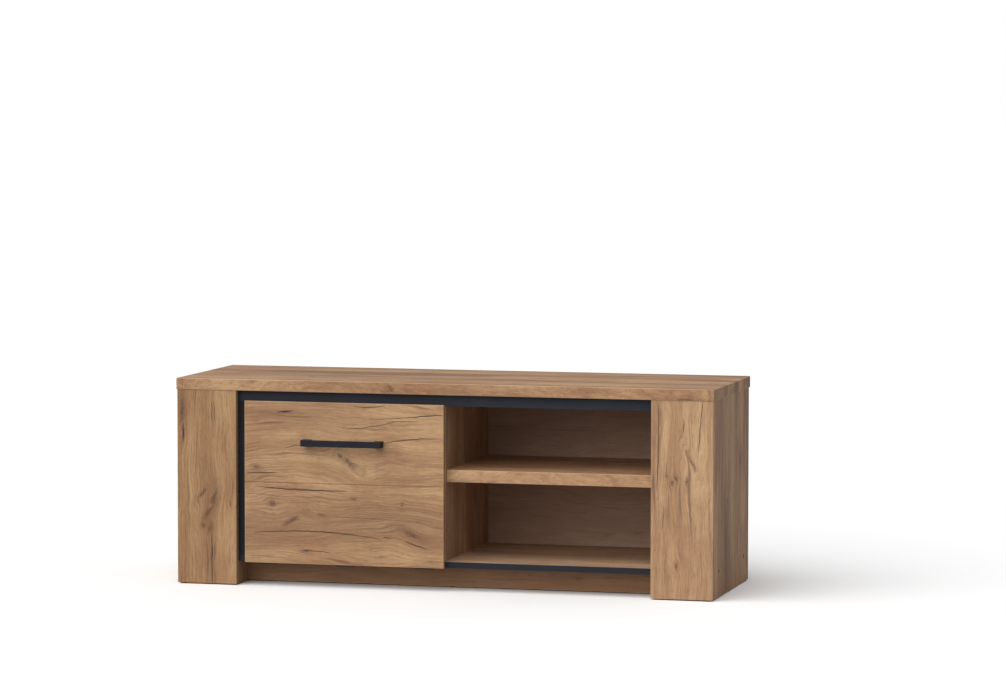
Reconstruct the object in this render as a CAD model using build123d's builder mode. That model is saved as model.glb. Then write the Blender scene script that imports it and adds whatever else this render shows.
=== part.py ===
import math
import os

from build123d import *

# A low TV stand in oak-faced board: a drop-down door on the left, two open bays on the right, a wide
# hollow pilaster at each end and black trim around the bays. Millimetres, +Z up. The origin is on the
# floor under the middle of the bounding box, +X to the right and +Y towards the wall.

# ---------------------------------------------------------------- driving dimensions
WIDTH = 1460.0
HEIGHT = 550.0
TOP_THICKNESS = 30.0
TOP_OVERHANG = 2.0
TOP_BACK = 473.0
BODY_DEPTH = 467.0
BOARD = 16.0
GLIDE_HEIGHT = 3.0
PILASTER_WIDTH = 164.0
CARCASS_FRONT = 18.0
TRIM_WIDTH = 30.5
BAND_THICKNESS = 1.0
BOTTOM_UNDERSIDE = 63.0
PLINTH_SETBACK = 106.0
BACK_THICKNESS = 3.0
BACK_SETBACK = 4.0
SHELF_UNDERSIDE = 288.0
SHELF_THICKNESS = 32.0
SHELF_SETBACK = 38.0
DOOR_THICKNESS = 16.0
DOOR_SIDE_REVEAL = 24.0
DOOR_WIDTH = 547.0
DOOR_HEIGHT = 430.0
GROOVE_WIDTH = 2.4
GROOVE_DEPTH = 1.8
HANDLE_LENGTH = 219.0
HANDLE_HEIGHT = 16.5
HANDLE_PROJECTION = 32.0
HANDLE_BAR = 10.0
HANDLE_LEG = 22.0
HANDLE_ABOVE_GROOVE = 108.5
HANDLE_INNER_ROUND = 5.0
HANDLE_ARRIS = 0.7
ARRIS = 0.8
TOP_ARRIS = 1.5

# ---------------------------------------------------------------- derived positions
FRONT = HANDLE_PROJECTION - (TOP_BACK + HANDLE_PROJECTION) / 2
BODY_HALF = WIDTH / 2 - TOP_OVERHANG
SIDE_INNER = BODY_HALF - BOARD
BAY_HALF = BODY_HALF - PILASTER_WIDTH
TOP_UNDERSIDE = HEIGHT - TOP_THICKNESS
BOTTOM_TOP = BOTTOM_UNDERSIDE + BOARD
RAIL_UNDERSIDE = TOP_UNDERSIDE - TRIM_WIDTH
TRIM_BACK = CARCASS_FRONT + BOARD
BACK_FRONT = BODY_DEPTH - BACK_SETBACK
DOOR_LEFT = -BAY_HALF + DOOR_SIDE_REVEAL
DOOR_RIGHT = DOOR_LEFT + DOOR_WIDTH
DOOR_CENTRE = (DOOR_LEFT + DOOR_RIGHT) / 2
DOOR_BOTTOM = BOTTOM_UNDERSIDE
DOOR_TOP = DOOR_BOTTOM + DOOR_HEIGHT
DIVIDER_RIGHT = DOOR_RIGHT
DIVIDER_LEFT = DIVIDER_RIGHT - BOARD
DIVIDER_CENTRE = (DIVIDER_LEFT + DIVIDER_RIGHT) / 2
INNER_CENTRE = BAY_HALF + BOARD / 2
OUTER_CENTRE = BODY_HALF - BOARD / 2
PANEL_MIDDLE = BOTTOM_UNDERSIDE + BOARD / 2
SIDES = (("left", -1), ("right", 1))

# ---------------------------------------------------------------- fasteners
FIT = 0.05
CONFIRMAT_DEPTHS = (79.0, 404.0)
CONFIRMAT_RADIUS = 3.4
CONFIRMAT_LENGTH = 50.0
CONFIRMAT_HEAD_RADIUS = 5.0
CONFIRMAT_HEAD = 3.0
CAP_RADIUS = 7.0
CAP_RECESS = 2.0
CAP_THICKNESS = 1.2
CAP_RIM = 2.5
DIVIDER_SCREW_DEPTHS = (70.0, 425.0)
CAM_RADIUS = 7.5
CAM_LENGTH = 12.5
CAM_DROP = 34.0
CAM_BOLT_RADIUS = 3.0
CAM_NECK_RADIUS = 2.2
CAM_BALL = (3.3, 3.0)
CAM_BOLT_HOLE_RADIUS = 3.6
CAM_SUNK = 0.5
CAM_SLOT = (9.0, 1.6)
CAM_HOLLOW = 16.0
CAM_DEPTHS = (70.0, 400.0)
DOWEL_RADIUS = 4.0
DOWEL_LENGTH = 30.0
DOWEL_HEAD = 11.0
PILASTER_DOWEL_HEIGHTS = (120.0, 300.0, 470.0)
BASE_DOWEL_HEIGHT = 33.0
MIDDLE_DEPTH = 240.0
TOP_DOWEL_DEPTHS = (100.0, 380.0)
FOOT_DOWEL_DEPTHS = (100.0, 380.0)
RAIL_SCREW_XS = (-450.0, -120.0, 280.0, 480.0)
RAIL_SCREW_LENGTH = 45.0
FILLER_SCREW_HEIGHTS = (130.0, 280.0, 430.0)
FILLER_SCREW_LENGTH = 40.0
TRIM_SCREW = (4.0, 2.0, 2.4)
SMALL_SCREW = (3.0, 1.5, 1.4)
HANDLE_SCREW_RADIUS = 2.0
HANDLE_SCREW_LENGTH = 28.0
HANDLE_BORE = 13.0
PAN_HEAD = 2.4
PAN_HEAD_RADIUS = 4.0
PAN_HEAD_ROUND = 1.2
RECESS_SPAN = 1.15
RECESS_WIDTH = 0.7
RECESS_DEPTH = 0.9
BLOCK = 20.0
BLOCK_CHAMFER = 5.0
BLOCK_XS = (-420.0, -140.0, 140.0, 420.0)
PIN_RADIUS = 2.5
PIN_REACH = 8.0
PIN_PADDLE = 10.0
SHELF_PIN_DEPTHS = (80.0, 420.0)
GLIDE_RADIUS = 7.5
GLIDE_PIN_RADIUS = 1.1
GLIDE_PIN = 11.0
GLIDE_PIN_OVERLAP = 0.5
GLIDE_CHAMFER = 1.0
GLIDE_SHIFT = 7.0
REAR_GLIDE_DEPTH = 440.0
NAIL_RADIUS = 0.7
NAIL_LENGTH = 20.0
NAIL_HEAD = (2.2, 0.5)
NAIL_START = 70.0
NAIL_STEP = 120.0
NAIL_ROW = 5
NAIL_EDGE = 4.0
NAIL_SIDE_HEIGHTS = (150.0, 280.0, 410.0, 500.0)
BACK_LAP = 3.0
JOINT_GAP = 0.6
JOINT_HALF = 11.0

# ---------------------------------------------------------------- door hardware
HINGE_DEPTH = 17.0
HINGE_DROP = 3.0
HINGE_XS = (DOOR_CENTRE - 215.0, DOOR_CENTRE, DOOR_CENTRE + 215.0)
HINGE_LENGTH = 50.0
KNUCKLE_RADIUS = 2.7
KNUCKLE_COUNT = 5
KNUCKLE_GAP = 0.3
NECK_OVERLAP = 0.5
NECK_DROP = 0.2
HINGE_PIN_RADIUS = 1.2
LEAF = 1.2
LEAF_INNER_EDGE = 2.5
CABINET_LEAF_END = 44.0
DOOR_LEAF_END = 2.0
HINGE_SCREW_OFFSET = 15.0
CABINET_LEAF_SCREW = 34.0
DOOR_LEAF_SCREW = 8.0
HINGE_SCREW_LENGTH = 15.0
CATCH_LENGTH = 46.0
CATCH_HEIGHT = 13.0
CATCH_DEPTH = 15.0
CATCH_FRONT = 18.5
CATCH_WALL = 3.0
CATCH_MOUTH_HALF = 12.0
CATCH_MOUTH_DEPTH = 10.0
CATCH_SCREW_OFFSET = 17.0
CATCH_SCREW_LENGTH = 25.0
CATCH_CHAMFER = 2.0
MAGNET_SUNK = 0.6
POLE_PROUD = 0.7
POLE_THICKNESS = 1.2
STRIKE_LENGTH = 40.0
STRIKE_HEIGHT = 12.0
STRIKE_THICKNESS = 1.4
STRIKE_SCREW_OFFSET = 12.0
STRIKE_SCREW_LENGTH = 11.0
BUMPER_THICKNESS = 1.6
BUMPER_RADIUS = 3.5
BUMPER_HEIGHTS = (110.0, 470.0)
STAY_LINK = 2.0
STAY_GAP = 1.0
STAY_WIDTH = 12.0
STAY_PIN_RADIUS = 2.5
STAY_HEAD = (4.2, 0.9)
STAY_SCREW_LENGTH = 12.0
STAY_PLATE_SPAN = 28.0
STAY_PLATE_WIDTH = 14.0
STAY_FOOT_REACH = 30.0
STAY_FOOT_HALF = 16.0
STAY_FOOT_SCREW_REACH = 22.0
STAY_FOOT_SCREW_OFFSET = 9.0
PIVOT_END_PLAY = 0.2
ELBOW_END_PLAY = 0.3
ELBOW_CLEARANCE = 0.5
STAY_WALL_DEPTH = 105.0
STAY_WALL_HEIGHT = 150.0
STAY_DOOR_DEPTH = 30.0
STAY_DOOR_HEIGHT = 183.0

ALONG_X = (0, 90, 0)
ALONG_Y = (90, 0, 0)
ALONG_Z = (0, 0, 0)


# ---------------------------------------------------------------- helpers
def behind(depth):
    """Y of a plane that lies this far behind the front faces of the door and pilasters."""
    return FRONT + depth


def board(x, y, z, mode=Mode.ADD):
    """A rectangular board between two X, two depths behind the front and two heights."""
    with Locations(((x[0] + x[1]) / 2, behind((y[0] + y[1]) / 2), (z[0] + z[1]) / 2)):
        Box(abs(x[1] - x[0]), abs(y[1] - y[0]), z[1] - z[0], mode=mode)


def rod(points, radius, length, along, mode=Mode.ADD):
    """A plain round rod centred on each point."""
    with Locations(*points):
        Cylinder(radius, length, rotation=along, mode=mode)


def bore(points, radius, length, along):
    """A round hole centred on each point."""
    rod(points, radius + FIT, length, along, Mode.SUBTRACT)


def cross_recess(points, into, head_radius):
    """The cross-shaped recess for a screwdriver in each screw head."""
    span = head_radius * RECESS_SPAN
    with Locations(*[Plane(origin=point, z_dir=into) for point in points]):
        Box(span, RECESS_WIDTH, 2 * RECESS_DEPTH, mode=Mode.SUBTRACT)
        Box(RECESS_WIDTH, span, 2 * RECESS_DEPTH, mode=Mode.SUBTRACT)


def countersunk(points, into, size, length, mode=Mode.ADD):
    """A countersunk screw at each point, driven in the direction `into`; size is its head radius,
    shank radius and head height. Subtracting it leaves its hole."""
    head_radius, shank_radius, head = size
    grow = FIT if mode == Mode.SUBTRACT else 0
    bottom = (Align.CENTER, Align.CENTER, Align.MIN)
    with Locations(*[Plane(origin=point, z_dir=into) for point in points]):
        Cone(head_radius + grow, shank_radius + grow, head, align=bottom, mode=mode)
        Cylinder(shank_radius + grow, length, align=bottom, mode=mode)
    if mode == Mode.ADD:
        cross_recess(points, into, head_radius)


def save(piece, name):
    """Label one finished sub-part and write it."""
    piece.part.label = name
    export_step(piece.part, f"parts/{name}.step")


# ---------------------------------------------------------------- fastener places
def confirmat_points(hand, distance):
    """Screw centres at the height of the bottom panel, `distance` in from the outer face."""
    return [(hand * (BODY_HALF - distance), behind(depth), PANEL_MIDDLE) for depth in CONFIRMAT_DEPTHS]


def cam_places():
    """Each cam fitting: X of the face it is let into, which way it goes in, and its depth."""
    places = [(hand * BAY_HALF, hand, depth) for _, hand in SIDES for depth in CAM_DEPTHS]
    return places + [(DIVIDER_LEFT, 1, depth) for depth in CAM_DEPTHS]


def cam_axis_points(height, faces=None):
    """Points on the bolt axes at one height, for all cams or those on one face."""
    chosen = [place for place in cam_places() if faces is None or place[0] == faces]
    return [(face + way * BOARD / 2, behind(depth), height) for face, way, depth in chosen]


def top_dowel_points(x_centre, depths, height):
    """Upright dowels under the top panel."""
    return [(x_centre, behind(depth), height) for depth in depths]


TOP_DOWEL_ROWS = [(hand * OUTER_CENTRE, TOP_DOWEL_DEPTHS) for _, hand in SIDES]
TOP_DOWEL_ROWS += [(hand * INNER_CENTRE, (MIDDLE_DEPTH,)) for _, hand in SIDES]
TOP_DOWEL_ROWS += [(DIVIDER_CENTRE, (MIDDLE_DEPTH,))]
TOP_DOWEL_MIDDLE = TOP_UNDERSIDE + DOWEL_HEAD - DOWEL_LENGTH / 2
FOOT_DOWEL_MIDDLE = BOTTOM_TOP - DOWEL_HEAD + DOWEL_LENGTH / 2
FRONT_DOWEL_MIDDLE = BOARD - DOWEL_HEAD + DOWEL_LENGTH / 2
END_DOWEL_MIDDLE = BODY_HALF - BOARD + DOWEL_HEAD - DOWEL_LENGTH / 2
FOOT_DOWEL_XS = (-INNER_CENTRE, INNER_CENTRE, DIVIDER_CENTRE)


def foot_dowel_points(x_centre):
    """Upright dowels between the bottom panel and the board that stands on it."""
    return [(x_centre, behind(depth), FOOT_DOWEL_MIDDLE) for depth in FOOT_DOWEL_DEPTHS]


def pilaster_dowel_points(x_centre, heights):
    """Level dowels between a pilaster front and the edge of the board behind it."""
    return [(x_centre, behind(FRONT_DOWEL_MIDDLE), height) for height in heights]


def end_dowel_point(hand):
    """The level dowel between the end of the bottom panel and an outer side."""
    return [(hand * END_DOWEL_MIDDLE, behind(MIDDLE_DEPTH), PANEL_MIDDLE)]


def glide_points(height):
    """Centres of the glides and of their pins, at one height."""
    front = [(hand * (OUTER_CENTRE - GLIDE_SHIFT), behind(BOARD / 2), height) for _, hand in SIDES]
    rear = [(hand * OUTER_CENTRE, behind(REAR_GLIDE_DEPTH), height) for _, hand in SIDES]
    plinths = [(DIVIDER_CENTRE, behind(PLINTH_SETBACK + BOARD / 2), height)]
    plinths += [(DIVIDER_CENTRE, behind(BACK_FRONT - BOARD / 2), height)]
    return front + rear + plinths


GLIDE_PIN_MIDDLE = GLIDE_HEIGHT + GLIDE_PIN / 2 - GLIDE_PIN_OVERLAP


def bore_glide_pins():
    """The holes of the glide pins, in whichever board is being made."""
    bore(glide_points(GLIDE_PIN_MIDDLE), GLIDE_PIN_RADIUS, GLIDE_PIN, ALONG_Z)


RAIL_SCREW_POINTS = [(x, behind((CARCASS_FRONT + TRIM_BACK) / 2), RAIL_UNDERSIDE) for x in RAIL_SCREW_XS]
FILLER_SCREW_POINTS = [
    (-BAY_HALF - BOARD, behind((CARCASS_FRONT + TRIM_BACK) / 2), height) for height in FILLER_SCREW_HEIGHTS
]
DIVIDER_SCREW_POINTS = [(DIVIDER_CENTRE, behind(d), BOTTOM_UNDERSIDE) for d in DIVIDER_SCREW_DEPTHS]
DIVIDER_SCREW = (CONFIRMAT_HEAD_RADIUS, CONFIRMAT_RADIUS, CONFIRMAT_HEAD)
SHELF_PIN_HEIGHT = SHELF_UNDERSIDE - PIN_RADIUS
HANDLE_SCREW_XS = [DOOR_CENTRE + hand * (HANDLE_LENGTH - HANDLE_LEG) / 2 for _, hand in SIDES]
HANDLE_MIDDLE = (DOOR_BOTTOM + DOOR_TOP) / 2 + HANDLE_ABOVE_GROOVE
HINGE_HEIGHT = DOOR_BOTTOM - HINGE_DROP


def hinge_screw_points(depth):
    """Where the screws of one row of hinge leaves enter, two to a leaf."""
    offsets = (-HINGE_SCREW_OFFSET, HINGE_SCREW_OFFSET)
    return [(x + offset, behind(depth), DOOR_BOTTOM - LEAF) for x in HINGE_XS for offset in offsets]


os.makedirs("parts", exist_ok=True)

# ---------------------------------------------------------------- top panel
with BuildPart() as top_panel:
    board((-WIDTH / 2, WIDTH / 2), (-TOP_OVERHANG, TOP_BACK), (TOP_UNDERSIDE, HEIGHT))
    fillet(top_panel.edges(), TOP_ARRIS)
    for row_x, row_depths in TOP_DOWEL_ROWS:
        bore(top_dowel_points(row_x, row_depths, TOP_DOWEL_MIDDLE), DOWEL_RADIUS, DOWEL_LENGTH, ALONG_Z)
    bore(cam_axis_points(TOP_UNDERSIDE), CAM_BOLT_RADIUS, 2 * DOWEL_HEAD, ALONG_Z)
    countersunk(RAIL_SCREW_POINTS, (0, 0, 1), TRIM_SCREW, RAIL_SCREW_LENGTH, Mode.SUBTRACT)
save(top_panel, "top_panel")

# ---------------------------------------------------------------- pilasters and sides
for side, hand in SIDES:
    # The outer side stands behind the pilaster front and is rebated for the back panel.
    with BuildPart() as outer_side:
        board(
            (hand * SIDE_INNER, hand * BODY_HALF),
            (BOARD, BODY_DEPTH),
            (GLIDE_HEIGHT, TOP_UNDERSIDE),
        )
        chamfer(outer_side.edges().filter_by(Axis.Z), ARRIS / 2)
        board(
            (hand * SIDE_INNER, hand * (SIDE_INNER + BOARD / 2)),
            (BACK_FRONT, BODY_DEPTH),
            (GLIDE_HEIGHT, TOP_UNDERSIDE),
            Mode.SUBTRACT,
        )
        bore(confirmat_points(hand, 0), CAP_RADIUS, 2 * CAP_RECESS, ALONG_X)
        bore(confirmat_points(hand, CAP_RECESS), CONFIRMAT_HEAD_RADIUS, 2 * CONFIRMAT_HEAD, ALONG_X)
        bore(confirmat_points(hand, CONFIRMAT_LENGTH / 2), CONFIRMAT_RADIUS, CONFIRMAT_LENGTH, ALONG_X)
        bore(
            top_dowel_points(hand * OUTER_CENTRE, TOP_DOWEL_DEPTHS, TOP_DOWEL_MIDDLE),
            DOWEL_RADIUS,
            DOWEL_LENGTH,
            ALONG_Z,
        )
        bore(
            pilaster_dowel_points(hand * OUTER_CENTRE, PILASTER_DOWEL_HEIGHTS),
            DOWEL_RADIUS,
            DOWEL_LENGTH,
            ALONG_Y,
        )
        bore(end_dowel_point(hand), DOWEL_RADIUS, DOWEL_LENGTH, ALONG_X)
        bore_glide_pins()
    save(outer_side, f"{side}_outer_side")

    with BuildPart() as pilaster_front:
        board((hand * BAY_HALF, hand * BODY_HALF), (0, BOARD), (GLIDE_HEIGHT, TOP_UNDERSIDE))
        chamfer(pilaster_front.edges(), ARRIS)
        for row_x in (OUTER_CENTRE, INNER_CENTRE):
            bore(
                pilaster_dowel_points(hand * row_x, PILASTER_DOWEL_HEIGHTS),
                DOWEL_RADIUS,
                DOWEL_LENGTH,
                ALONG_Y,
            )
        bore(
            pilaster_dowel_points(hand * INNER_CENTRE, (BASE_DOWEL_HEIGHT,)),
            DOWEL_RADIUS,
            DOWEL_LENGTH,
            ALONG_Y,
        )
        bore_glide_pins()
    save(pilaster_front, f"{side}_pilaster_front")

    # The inner side closes the pilaster and is the wall of the bay.
    with BuildPart() as inner_side:
        board(
            (hand * BAY_HALF, hand * (BAY_HALF + BOARD)),
            (BOARD, BACK_FRONT),
            (BOTTOM_TOP, TOP_UNDERSIDE),
        )
        bolt_holes = cam_axis_points(TOP_UNDERSIDE - CAM_DROP / 2, hand * BAY_HALF)
        bore(bolt_holes, CAM_BOLT_HOLE_RADIUS, CAM_DROP, ALONG_Z)
        cam_centres = [
            (x - hand * (BOARD - CAM_LENGTH) / 2, y, z)
            for x, y, z in cam_axis_points(TOP_UNDERSIDE - CAM_DROP, hand * BAY_HALF)
        ]
        bore(cam_centres, CAM_RADIUS, CAM_LENGTH, ALONG_X)
        bore(
            top_dowel_points(hand * INNER_CENTRE, (MIDDLE_DEPTH,), TOP_DOWEL_MIDDLE),
            DOWEL_RADIUS,
            DOWEL_LENGTH,
            ALONG_Z,
        )
        bore(foot_dowel_points(hand * INNER_CENTRE), DOWEL_RADIUS, DOWEL_LENGTH, ALONG_Z)
        bore(
            pilaster_dowel_points(hand * INNER_CENTRE, PILASTER_DOWEL_HEIGHTS),
            DOWEL_RADIUS,
            DOWEL_LENGTH,
            ALONG_Y,
        )
        if side == "left":
            countersunk(FILLER_SCREW_POINTS, (1, 0, 0), TRIM_SCREW, FILLER_SCREW_LENGTH, Mode.SUBTRACT)
        else:
            pins = [(BAY_HALF, behind(depth), SHELF_PIN_HEIGHT) for depth in SHELF_PIN_DEPTHS]
            bore(pins, PIN_RADIUS, 2 * PIN_REACH, ALONG_X)
    save(inner_side, f"{side}_inner_side")

    # Under the bottom panel the wall of the pilaster goes on to the floor as a base side.
    with BuildPart() as base_side:
        board(
            (hand * BAY_HALF, hand * (BAY_HALF + BOARD)),
            (BOARD, BACK_FRONT),
            (GLIDE_HEIGHT, BOTTOM_UNDERSIDE),
        )
        bore(
            pilaster_dowel_points(hand * INNER_CENTRE, (BASE_DOWEL_HEIGHT,)),
            DOWEL_RADIUS,
            DOWEL_LENGTH,
            ALONG_Y,
        )
    save(base_side, f"{side}_base_side")

# ---------------------------------------------------------------- bottom panel and its black edge
with BuildPart() as bottom_panel:
    board((-SIDE_INNER, SIDE_INNER), (BOARD, BACK_FRONT), (BOTTOM_UNDERSIDE, BOTTOM_TOP))
    board(
        (-BAY_HALF, BAY_HALF),
        (BOARD, CARCASS_FRONT + BAND_THICKNESS),
        (BOTTOM_UNDERSIDE, BOTTOM_TOP),
        Mode.SUBTRACT,
    )
    for _, hand in SIDES:
        bore(confirmat_points(hand, CONFIRMAT_LENGTH / 2), CONFIRMAT_RADIUS, CONFIRMAT_LENGTH, ALONG_X)
        bore(end_dowel_point(hand), DOWEL_RADIUS, DOWEL_LENGTH, ALONG_X)
    for row_x in FOOT_DOWEL_XS:
        bore(foot_dowel_points(row_x), DOWEL_RADIUS, DOWEL_LENGTH, ALONG_Z)
    countersunk(DIVIDER_SCREW_POINTS, (0, 0, 1), DIVIDER_SCREW, CONFIRMAT_LENGTH, Mode.SUBTRACT)
    hinge_holes = hinge_screw_points(CABINET_LEAF_SCREW)
    countersunk(hinge_holes, (0, 0, 1), SMALL_SCREW, HINGE_SCREW_LENGTH, Mode.SUBTRACT)
save(bottom_panel, "bottom_panel")

with BuildPart() as bottom_edge_band:
    board(
        (-BAY_HALF, BAY_HALF),
        (CARCASS_FRONT, CARCASS_FRONT + BAND_THICKNESS),
        (BOTTOM_UNDERSIDE, BOTTOM_TOP),
    )
    chamfer(bottom_edge_band.faces().sort_by(Axis.Y)[0].edges().filter_by(Axis.X), BAND_THICKNESS / 2)
save(bottom_edge_band, "bottom_edge_band")

# ---------------------------------------------------------------- divider and middle shelf
with BuildPart() as divider:
    board((DIVIDER_LEFT, DIVIDER_RIGHT), (CARCASS_FRONT, BACK_FRONT), (BOTTOM_TOP, TOP_UNDERSIDE))
    board(
        (DIVIDER_LEFT, DIVIDER_RIGHT),
        (CARCASS_FRONT, TRIM_BACK),
        (RAIL_UNDERSIDE, TOP_UNDERSIDE),
        Mode.SUBTRACT,
    )
    bolt_holes = cam_axis_points(TOP_UNDERSIDE - CAM_DROP / 2, DIVIDER_LEFT)
    bore(bolt_holes, CAM_BOLT_HOLE_RADIUS, CAM_DROP, ALONG_Z)
    cam_centres = [
        (x - (BOARD - CAM_LENGTH) / 2, y, z)
        for x, y, z in cam_axis_points(TOP_UNDERSIDE - CAM_DROP, DIVIDER_LEFT)
    ]
    bore(cam_centres, CAM_RADIUS, CAM_LENGTH, ALONG_X)
    bore(
        top_dowel_points(DIVIDER_CENTRE, (MIDDLE_DEPTH,), TOP_DOWEL_MIDDLE),
        DOWEL_RADIUS,
        DOWEL_LENGTH,
        ALONG_Z,
    )
    bore(foot_dowel_points(DIVIDER_CENTRE), DOWEL_RADIUS, DOWEL_LENGTH, ALONG_Z)
    countersunk(DIVIDER_SCREW_POINTS, (0, 0, 1), DIVIDER_SCREW, CONFIRMAT_LENGTH, Mode.SUBTRACT)
    pins = [(DIVIDER_RIGHT, behind(depth), SHELF_PIN_HEIGHT) for depth in SHELF_PIN_DEPTHS]
    bore(pins, PIN_RADIUS, 2 * PIN_REACH, ALONG_X)
    plate_holes = [
        (DIVIDER_LEFT - STAY_LINK, behind(STAY_WALL_DEPTH + hand * STAY_PLATE_SPAN / 2), STAY_WALL_HEIGHT)
        for _, hand in SIDES
    ]
    countersunk(plate_holes, (1, 0, 0), SMALL_SCREW, STAY_SCREW_LENGTH, Mode.SUBTRACT)
save(divider, "divider")

with BuildPart() as middle_shelf:
    board(
        (DIVIDER_RIGHT, BAY_HALF),
        (SHELF_SETBACK, BACK_FRONT),
        (SHELF_UNDERSIDE, SHELF_UNDERSIDE + SHELF_THICKNESS),
    )
    chamfer(middle_shelf.faces().sort_by(Axis.Y)[0].edges().filter_by(Axis.X), ARRIS)
save(middle_shelf, "middle_shelf")

# The shelf lies on four steel pins, each with a flat paddle.
with BuildPart() as shelf_pins:
    for face, inward in ((DIVIDER_RIGHT, 1), (BAY_HALF, -1)):
        for depth in SHELF_PIN_DEPTHS:
            root = face - inward * PIN_REACH / 2
            rod([(root, behind(depth), SHELF_PIN_HEIGHT)], PIN_RADIUS, PIN_REACH, ALONG_X)
            board(
                (face, face + inward * PIN_PADDLE),
                (depth - 2 * PIN_RADIUS, depth + 2 * PIN_RADIUS),
                (SHELF_UNDERSIDE - 2 * PIN_RADIUS, SHELF_UNDERSIDE),
            )
save(shelf_pins, "shelf_pins")

# ---------------------------------------------------------------- black trim
with BuildPart() as top_rail:
    board((-BAY_HALF, BAY_HALF), (CARCASS_FRONT, TRIM_BACK), (RAIL_UNDERSIDE, TOP_UNDERSIDE))
    chamfer(top_rail.faces().sort_by(Axis.Y)[0].edges().filter_by(Axis.X), ARRIS)
    countersunk(RAIL_SCREW_POINTS, (0, 0, 1), TRIM_SCREW, RAIL_SCREW_LENGTH, Mode.SUBTRACT)
    catch_holes = [
        (
            DOOR_CENTRE + hand * CATCH_SCREW_OFFSET,
            behind(CATCH_FRONT + CATCH_DEPTH / 2),
            RAIL_UNDERSIDE - CATCH_HEIGHT,
        )
        for _, hand in SIDES
    ]
    countersunk(catch_holes, (0, 0, 1), SMALL_SCREW, CATCH_SCREW_LENGTH, Mode.SUBTRACT)
save(top_rail, "top_rail")

with BuildPart() as filler_strip:
    board((-BAY_HALF, -BAY_HALF + TRIM_WIDTH), (CARCASS_FRONT, TRIM_BACK), (BOTTOM_TOP, RAIL_UNDERSIDE))
    chamfer(filler_strip.edges().filter_by(Axis.Z).sort_by(Axis.Y)[:2], ARRIS)
    countersunk(FILLER_SCREW_POINTS, (1, 0, 0), TRIM_SCREW, FILLER_SCREW_LENGTH, Mode.SUBTRACT)
save(filler_strip, "filler_strip")

# ---------------------------------------------------------------- plinth under the bottom panel
with BuildPart() as front_plinth:
    board(
        (-BAY_HALF, BAY_HALF),
        (PLINTH_SETBACK, PLINTH_SETBACK + BOARD),
        (GLIDE_HEIGHT, BOTTOM_UNDERSIDE),
    )
    bore_glide_pins()
save(front_plinth, "front_plinth")

with BuildPart() as rear_plinth:
    board((-BAY_HALF, BAY_HALF), (BACK_FRONT - BOARD, BACK_FRONT), (GLIDE_HEIGHT, BOTTOM_UNDERSIDE))
    bore_glide_pins()
save(rear_plinth, "rear_plinth")

with BuildPart() as centre_support:
    board(
        (DIVIDER_LEFT, DIVIDER_RIGHT),
        (PLINTH_SETBACK + BOARD, DIVIDER_SCREW_DEPTHS[1] - BOARD),
        (GLIDE_HEIGHT, BOTTOM_UNDERSIDE),
    )
save(centre_support, "centre_support")

# Moulded corner blocks hold both plinths to the bottom panel.
BLOCK_ROWS = (PLINTH_SETBACK + BOARD, BACK_FRONT - BOARD - BLOCK)
BLOCK_BASE = BOTTOM_UNDERSIDE - BLOCK
with BuildPart() as corner_blocks:
    for block_x in BLOCK_XS:
        for row in BLOCK_ROWS:
            board(
                (block_x - BLOCK / 2, block_x + BLOCK / 2),
                (row, row + BLOCK),
                (BLOCK_BASE, BOTTOM_UNDERSIDE),
            )
    chamfer(corner_blocks.edges().filter_by(Axis.X).group_by(Axis.Z)[0], BLOCK_CHAMFER)
    up_holes = [
        (block_x, behind(row + BLOCK / 2), BLOCK_BASE) for block_x in BLOCK_XS for row in BLOCK_ROWS
    ]
    bore([(x, y, z + BLOCK / 2) for x, y, z in up_holes], SMALL_SCREW[1], BLOCK, ALONG_Z)
save(corner_blocks, "corner_blocks")

# ---------------------------------------------------------------- back panels and joint strip
for side, outer, inner in (
    ("left", -(SIDE_INNER + BOARD / 2), DIVIDER_CENTRE - JOINT_GAP),
    ("right", SIDE_INNER + BOARD / 2, DIVIDER_CENTRE + JOINT_GAP),
):
    with BuildPart() as back_panel:
        board(
            (min(outer, inner), max(outer, inner)),
            (BACK_FRONT, BACK_FRONT + BACK_THICKNESS),
            (BOTTOM_UNDERSIDE - BACK_LAP, TOP_UNDERSIDE),
        )
    save(back_panel, f"back_panel_{side}")

with BuildPart() as back_joint_strip:
    board(
        (DIVIDER_CENTRE - JOINT_GAP, DIVIDER_CENTRE + JOINT_GAP),
        (BACK_FRONT, BACK_FRONT + BACK_THICKNESS),
        (BOTTOM_UNDERSIDE, TOP_UNDERSIDE),
    )
    board(
        (DIVIDER_CENTRE - JOINT_HALF, DIVIDER_CENTRE + JOINT_HALF),
        (BACK_FRONT + BACK_THICKNESS, BODY_DEPTH),
        (BOTTOM_UNDERSIDE, TOP_UNDERSIDE),
    )
save(back_joint_strip, "back_joint_strip")

# ---------------------------------------------------------------- fastener groups
with BuildPart() as confirmat_screws:
    for _, hand in SIDES:
        rod(
            confirmat_points(hand, CAP_RECESS + CONFIRMAT_HEAD / 2),
            CONFIRMAT_HEAD_RADIUS,
            CONFIRMAT_HEAD,
            ALONG_X,
        )
        rod(
            confirmat_points(hand, (CAP_RECESS + CONFIRMAT_LENGTH) / 2),
            CONFIRMAT_RADIUS,
            CONFIRMAT_LENGTH - CAP_RECESS,
            ALONG_X,
        )
save(confirmat_screws, "confirmat_screws")

# A round cover cap with a shallow dish lies in the recess over each screw head.
with BuildPart() as screw_caps:
    for _, hand in SIDES:
        rod(confirmat_points(hand, CAP_RECESS - CAP_THICKNESS / 2), CAP_RADIUS, CAP_THICKNESS, ALONG_X)
        dishes = confirmat_points(hand, CAP_RECESS - CAP_THICKNESS)
        rod(dishes, CAP_RADIUS - CAP_RIM, CAP_THICKNESS, ALONG_X, Mode.SUBTRACT)
save(screw_caps, "screw_caps")

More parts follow.
